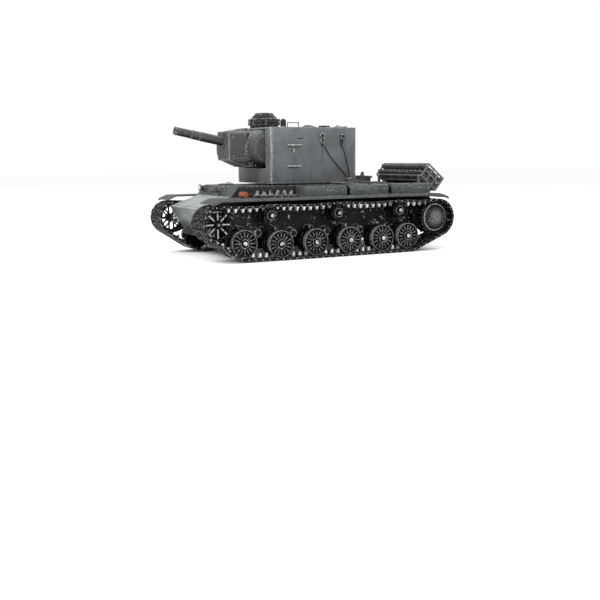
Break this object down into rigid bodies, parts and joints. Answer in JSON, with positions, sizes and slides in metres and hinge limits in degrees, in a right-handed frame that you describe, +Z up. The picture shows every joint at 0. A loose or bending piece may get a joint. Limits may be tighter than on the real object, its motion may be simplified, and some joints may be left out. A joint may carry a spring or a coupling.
{
  "type": "model tank",
  "caption": "Remote controlled model of a heavy tank with a tall box turret, elevating gun, sprung road wheels, stowage boxes and a rear shell rack.",
  "frame": {"origin": "on the ground under the middle of the overall box", "axes": "+Z up, -Y forward, so +X is the tank's left side"},
  "size_m": [0.2074, 0.41, 0.1994],
  "materials": {
    "hull_paint": "weathered grey paint on moulded plastic",
    "turret_paint": "weathered darker grey paint on moulded plastic",
    "running_gear": "dark grey paint over cast metal, edges rubbed bright",
    "roller": "black tyre on a grey centre",
    "track_metal": "dark metal, high spots rubbed bright",
    "spare_metal": "dark metal, horns rubbed bright",
    "gun_metal": "satin grey paint",
    "rope_wire": "blackened wire rope",
    "shell_metal": "dark grey paint"
  },
  "bodies": {
    "hull": {"lower_hull": "hull_paint", "upper_hull": "hull_paint", "fender_left": "hull_paint", "fender_right": "hull_paint", "track_left": "track_metal", "track_right": "track_metal", "tool_boxes": "hull_paint", "fender_stowage": "spare_metal", "front_fittings": "hull_paint", "engine_deck": "hull_paint", "shell_rack": "hull_paint", "rack_shells": "shell_metal"},
    "turret": {"turret_shell": "turret_paint", "turret_ring": "turret_paint", "turret_irons": "turret_paint", "roof_fittings": "turret_paint", "cupola": "turret_paint", "rope_front": "rope_wire", "rope_rear": "rope_wire"},
    "hatch_left": {"cupola_hatch_left": "turret_paint"},
    "hatch_right": {"cupola_hatch_right": "turret_paint"},
    "door": {"rear_door": "turret_paint"},
    "gun_mount": {"mantlet": "turret_paint"},
    "barrel": {"gun_barrel": "gun_metal"},
    "ball_gun": {"hull_gun": "gun_metal"},
    "visor": {"driver_visor": "hull_paint"},
    "drive_left": {"sprocket_left": "running_gear"},
    "tension_left": {"idler_left": "running_gear"},
    "roller_left_a": {"return_roller_left_a": "roller"},
    "roller_left_b": {"return_roller_left_b": "roller"},
    "roller_left_c": {"return_roller_left_c": "roller"},
    "arm_left_a": {"swing_arm_left_a": "running_gear"},
    "wheel_left_a": {"road_wheel_left_a": "running_gear"},
    "arm_left_b": {"swing_arm_left_b": "running_gear"},
    "wheel_left_b": {"road_wheel_left_b": "running_gear"},
    "arm_left_c": {"swing_arm_left_c": "running_gear"},
    "wheel_left_c": {"road_wheel_left_c": "running_gear"},
    "arm_left_d": {"swing_arm_left_d": "running_gear"},
    "wheel_left_d": {"road_wheel_left_d": "running_gear"},
    "arm_left_e": {"swing_arm_left_e": "running_gear"},
    "wheel_left_e": {"road_wheel_left_e": "running_gear"},
    "arm_left_f": {"swing_arm_left_f": "running_gear"},
    "wheel_left_f": {"road_wheel_left_f": "running_gear"},
    "drive_right": {"sprocket_right": "running_gear"},
    "tension_right": {"idler_right": "running_gear"},
    "roller_right_a": {"return_roller_right_a": "roller"},
    "roller_right_b": {"return_roller_right_b": "roller"},
    "roller_right_c": {"return_roller_right_c": "roller"},
    "arm_right_a": {"swing_arm_right_a": "running_gear"},
    "wheel_right_a": {"road_wheel_right_a": "running_gear"},
    "arm_right_b": {"swing_arm_right_b": "running_gear"},
    "wheel_right_b": {"road_wheel_right_b": "running_gear"},
    "arm_right_c": {"swing_arm_right_c": "running_gear"},
    "wheel_right_c": {"road_wheel_right_c": "running_gear"},
    "arm_right_d": {"swing_arm_right_d": "running_gear"},
    "wheel_right_d": {"road_wheel_right_d": "running_gear"},
    "arm_right_e": {"swing_arm_right_e": "running_gear"},
    "wheel_right_e": {"road_wheel_right_e": "running_gear"},
    "arm_right_f": {"swing_arm_right_f": "running_gear"},
    "wheel_right_f": {"road_wheel_right_f": "running_gear"}
  },
  "joints": [
    {"name": "turret_traverse", "type": "hinge", "parent": "hull", "child": "turret", "pos_m": [0, -0.0155, 0.098], "axis": [0, 0, 1], "continuous": true},
    {"name": "gun_elevation", "type": "hinge", "parent": "turret", "child": "gun_mount", "pos_m": [0, -0.0795, 0.148], "axis": [-1, 0, 0], "range_deg": [-16.5, 3.5]},
    {"name": "gun_recoil", "type": "slide", "parent": "gun_mount", "child": "barrel", "axis": [0, 0.9799, -0.1994], "range_m": [0, 0.008], "stiffness_N_per_m": 150, "springref_m": -0.002},
    {"name": "cupola_leaf_left", "type": "hinge", "parent": "turret", "child": "hatch_left", "pos_m": [-0.013, -0.0543, 0.1981], "axis": [0, 1, 0], "range_deg": [0, 110]},
    {"name": "cupola_leaf_right", "type": "hinge", "parent": "turret", "child": "hatch_right", "pos_m": [-0.039, -0.0543, 0.1981], "axis": [0, -1, 0], "range_deg": [0, 110]},
    {"name": "rear_door_swing", "type": "hinge", "parent": "turret", "child": "door", "pos_m": [-0.0182, 0.0552, 0.133], "axis": [0, 0, 1], "range_deg": [0, 115]},
    {"name": "hull_gun_traverse", "type": "hinge", "parent": "hull", "child": "ball_gun", "pos_m": [0.02, -0.14175, 0.091], "axis": [0, 0, 1], "range_deg": [-12, 12]},
    {"name": "visor_flap", "type": "hinge", "parent": "hull", "child": "visor", "pos_m": [-0.012, -0.1393, 0.0943], "axis": [-1, 0, 0], "range_deg": [0, 70]},
    {"name": "sprocket_left_drive", "type": "hinge", "parent": "hull", "child": "drive_left", "pos_m": [0.08188, 0.1646, 0.0475], "axis": [1, 0, 0], "continuous": true},
    {"name": "idler_left_spin", "type": "hinge", "parent": "hull", "child": "tension_left", "pos_m": [0.08188, -0.1806, 0.0508], "axis": [1, 0, 0], "continuous": true},
    {"name": "roller_left_a_spin", "type": "hinge", "parent": "hull", "child": "roller_left_a", "pos_m": [0.08188, -0.1023, 0.0599], "axis": [1, 0, 0], "continuous": true},
    {"name": "roller_left_b_spin", "type": "hinge", "parent": "hull", "child": "roller_left_b", "pos_m": [0.08188, 0.0016, 0.0599], "axis": [1, 0, 0], "continuous": true},
    {"name": "roller_left_c_spin", "type": "hinge", "parent": "hull", "child": "roller_left_c", "pos_m": [0.08188, 0.1037, 0.0599], "axis": [1, 0, 0], "continuous": true},
    {"name": "arm_left_a_swing", "type": "hinge", "parent": "hull", "child": "arm_left_a", "pos_m": [0.06, -0.1118, 0.03565], "axis": [-1, 0, 0], "range_deg": [0, 15], "stiffness_Nm_per_rad": 0.05, "springref_deg": -17.19},
    {"name": "wheel_left_a_spin", "type": "hinge", "parent": "arm_left_a", "child": "wheel_left_a", "pos_m": [0.08188, -0.1433, 0.02425], "axis": [1, 0, 0], "continuous": true},
    {"name": "arm_left_b_swing", "type": "hinge", "parent": "hull", "child": "arm_left_b", "pos_m": [0.06, -0.0577, 0.03285], "axis": [-1, 0, 0], "range_deg": [0, 15], "stiffness_Nm_per_rad": 0.05, "springref_deg": -17.19},
    {"name": "wheel_left_b_spin", "type": "hinge", "parent": "arm_left_b", "child": "wheel_left_b", "pos_m": [0.08188, -0.0892, 0.02145], "axis": [1, 0, 0], "continuous": true},
    {"name": "arm_left_c_swing", "type": "hinge", "parent": "hull", "child": "arm_left_c", "pos_m": [0.06, -0.0036, 0.03285], "axis": [-1, 0, 0], "range_deg": [0, 15], "stiffness_Nm_per_rad": 0.05, "springref_deg": -17.19},
    {"name": "wheel_left_c_spin", "type": "hinge", "parent": "arm_left_c", "child": "wheel_left_c", "pos_m": [0.08188, -0.0351, 0.02145], "axis": [1, 0, 0], "continuous": true},
    {"name": "arm_left_d_swing", "type": "hinge", "parent": "hull", "child": "arm_left_d", "pos_m": [0.06, 0.0505, 0.03285], "axis": [-1, 0, 0], "range_deg": [0, 15], "stiffness_Nm_per_rad": 0.05, "springref_deg": -17.19},
    {"name": "wheel_left_d_spin", "type": "hinge", "parent": "arm_left_d", "child": "wheel_left_d", "pos_m": [0.08188, 0.019, 0.02145], "axis": [1, 0, 0], "continuous": true},
    {"name": "arm_left_e_swing", "type": "hinge", "parent": "hull", "child": "arm_left_e", "pos_m": [0.06, 0.1046, 0.03285], "axis": [-1, 0, 0], "range_deg": [0, 15], "stiffness_Nm_per_rad": 0.05, "springref_deg": -17.19},
    {"name": "wheel_left_e_spin", "type": "hinge", "parent": "arm_left_e", "child": "wheel_left_e", "pos_m": [0.08188, 0.0731, 0.02145], "axis": [1, 0, 0], "continuous": true},
    {"name": "arm_left_f_swing", "type": "hinge", "parent": "hull", "child": "arm_left_f", "pos_m": [0.06, 0.148, 0.03405], "axis": [-1, 0, 0], "range_deg": [0, 8], "stiffness_Nm_per_rad": 0.05, "springref_deg": -17.19},
    {"name": "wheel_left_f_spin", "type": "hinge", "parent": "arm_left_f", "child": "wheel_left_f", "pos_m": [0.08188, 0.1165, 0.02265], "axis": [1, 0, 0], "continuous": true},
    {"name": "sprocket_right_drive", "type": "hinge", "parent": "hull", "child": "drive_right", "pos_m": [-0.08188, 0.1646, 0.0475], "axis": [1, 0, 0], "continuous": true},
    {"name": "idler_right_spin", "type": "hinge", "parent": "hull", "child": "tension_right", "pos_m": [-0.08188, -0.1806, 0.0508], "axis": [1, 0, 0], "continuous": true},
    {"name": "roller_right_a_spin", "type": "hinge", "parent": "hull", "child": "roller_right_a", "pos_m": [-0.08188, -0.1023, 0.0599], "axis": [1, 0, 0], "continuous": true},
    {"name": "roller_right_b_spin", "type": "hinge", "parent": "hull", "child": "roller_right_b", "pos_m": [-0.08188, 0.0016, 0.0599], "axis": [1, 0, 0], "continuous": true},
    {"name": "roller_right_c_spin", "type": "hinge", "parent": "hull", "child": "roller_right_c", "pos_m": [-0.08188, 0.1037, 0.0599], "axis": [1, 0, 0], "continuous": true},
    {"name": "arm_right_a_swing", "type": "hinge", "parent": "hull", "child": "arm_right_a", "pos_m": [-0.06, -0.1118, 0.03565], "axis": [-1, 0, 0], "range_deg": [0, 15], "stiffness_Nm_per_rad": 0.05, "springref_deg": -17.19},
    {"name": "wheel_right_a_spin", "type": "hinge", "parent": "arm_right_a", "child": "wheel_right_a", "pos_m": [-0.08188, -0.1433, 0.02425], "axis": [1, 0, 0], "continuous": true},
    {"name": "arm_right_b_swing", "type": "hinge", "parent": "hull", "child": "arm_right_b", "pos_m": [-0.06, -0.0577, 0.03285], "axis": [-1, 0, 0], "range_deg": [0, 15], "stiffness_Nm_per_rad": 0.05, "springref_deg": -17.19},
    {"name": "wheel_right_b_spin", "type": "hinge", "parent": "arm_right_b", "child": "wheel_right_b", "pos_m": [-0.08188, -0.0892, 0.02145], "axis": [1, 0, 0], "continuous": true},
    {"name": "arm_right_c_swing", "type": "hinge", "parent": "hull", "child": "arm_right_c", "pos_m": [-0.06, -0.0036, 0.03285], "axis": [-1, 0, 0], "range_deg": [0, 15], "stiffness_Nm_per_rad": 0.05, "springref_deg": -17.19},
    {"name": "wheel_right_c_spin", "type": "hinge", "parent": "arm_right_c", "child": "wheel_right_c", "pos_m": [-0.08188, -0.0351, 0.02145], "axis": [1, 0, 0], "continuous": true},
    {"name": "arm_right_d_swing", "type": "hinge", "parent": "hull", "child": "arm_right_d", "pos_m": [-0.06, 0.0505, 0.03285], "axis": [-1, 0, 0], "range_deg": [0, 15], "stiffness_Nm_per_rad": 0.05, "springref_deg": -17.19},
    {"name": "wheel_right_d_spin", "type": "hinge", "parent": "arm_right_d", "child": "wheel_right_d", "pos_m": [-0.08188, 0.019, 0.02145], "axis": [1, 0, 0], "continuous": true},
    {"name": "arm_right_e_swing", "type": "hinge", "parent": "hull", "child": "arm_right_e", "pos_m": [-0.06, 0.1046, 0.03285], "axis": [-1, 0, 0], "range_deg": [0, 15], "stiffness_Nm_per_rad": 0.05, "springref_deg": -17.19},
    {"name": "wheel_right_e_spin", "type": "hinge", "parent": "arm_right_e", "child": "wheel_right_e", "pos_m": [-0.08188, 0.0731, 0.02145], "axis": [1, 0, 0], "continuous": true},
    {"name": "arm_right_f_swing", "type": "hinge", "parent": "hull", "child": "arm_right_f", "pos_m": [-0.06, 0.148, 0.03405], "axis": [-1, 0, 0], "range_deg": [0, 8], "stiffness_Nm_per_rad": 0.05, "springref_deg": -17.19},
    {"name": "wheel_right_f_spin", "type": "hinge", "parent": "arm_right_f", "child": "wheel_right_f", "pos_m": [-0.08188, 0.1165, 0.02265], "axis": [1, 0, 0], "continuous": true}
  ],
  "couplings": [
    {"joint": "idler_left_spin", "follows": "sprocket_left_drive", "ratio": 1.1611},
    {"joint": "roller_left_a_spin", "follows": "sprocket_left_drive", "ratio": 2.1715},
    {"joint": "roller_left_b_spin", "follows": "sprocket_left_drive", "ratio": 2.1715},
    {"joint": "roller_left_c_spin", "follows": "sprocket_left_drive", "ratio": 2.1715},
    {"joint": "wheel_left_a_spin", "follows": "sprocket_left_drive", "ratio": 1.4337},
    {"joint": "wheel_left_b_spin", "follows": "sprocket_left_drive", "ratio": 1.4337},
    {"joint": "wheel_left_c_spin", "follows": "sprocket_left_drive", "ratio": 1.4337},
    {"joint": "wheel_left_d_spin", "follows": "sprocket_left_drive", "ratio": 1.4337},
    {"joint": "wheel_left_e_spin", "follows": "sprocket_left_drive", "ratio": 1.4337},
    {"joint": "wheel_left_f_spin", "follows": "sprocket_left_drive", "ratio": 1.4337},
    {"joint": "idler_right_spin", "follows": "sprocket_right_drive", "ratio": 1.1611},
    {"joint": "roller_right_a_spin", "follows": "sprocket_right_drive", "ratio": 2.1715},
    {"joint": "roller_right_b_spin", "follows": "sprocket_right_drive", "ratio": 2.1715},
    {"joint": "roller_right_c_spin", "follows": "sprocket_right_drive", "ratio": 2.1715},
    {"joint": "wheel_right_a_spin", "follows": "sprocket_right_drive", "ratio": 1.4337},
    {"joint": "wheel_right_b_spin", "follows": "sprocket_right_drive", "ratio": 1.4337},
    {"joint": "wheel_right_c_spin", "follows": "sprocket_right_drive", "ratio": 1.4337},
    {"joint": "wheel_right_d_spin", "follows": "sprocket_right_drive", "ratio": 1.4337},
    {"joint": "wheel_right_e_spin", "follows": "sprocket_right_drive", "ratio": 1.4337},
    {"joint": "wheel_right_f_spin", "follows": "sprocket_right_drive", "ratio": 1.4337}
  ]
}
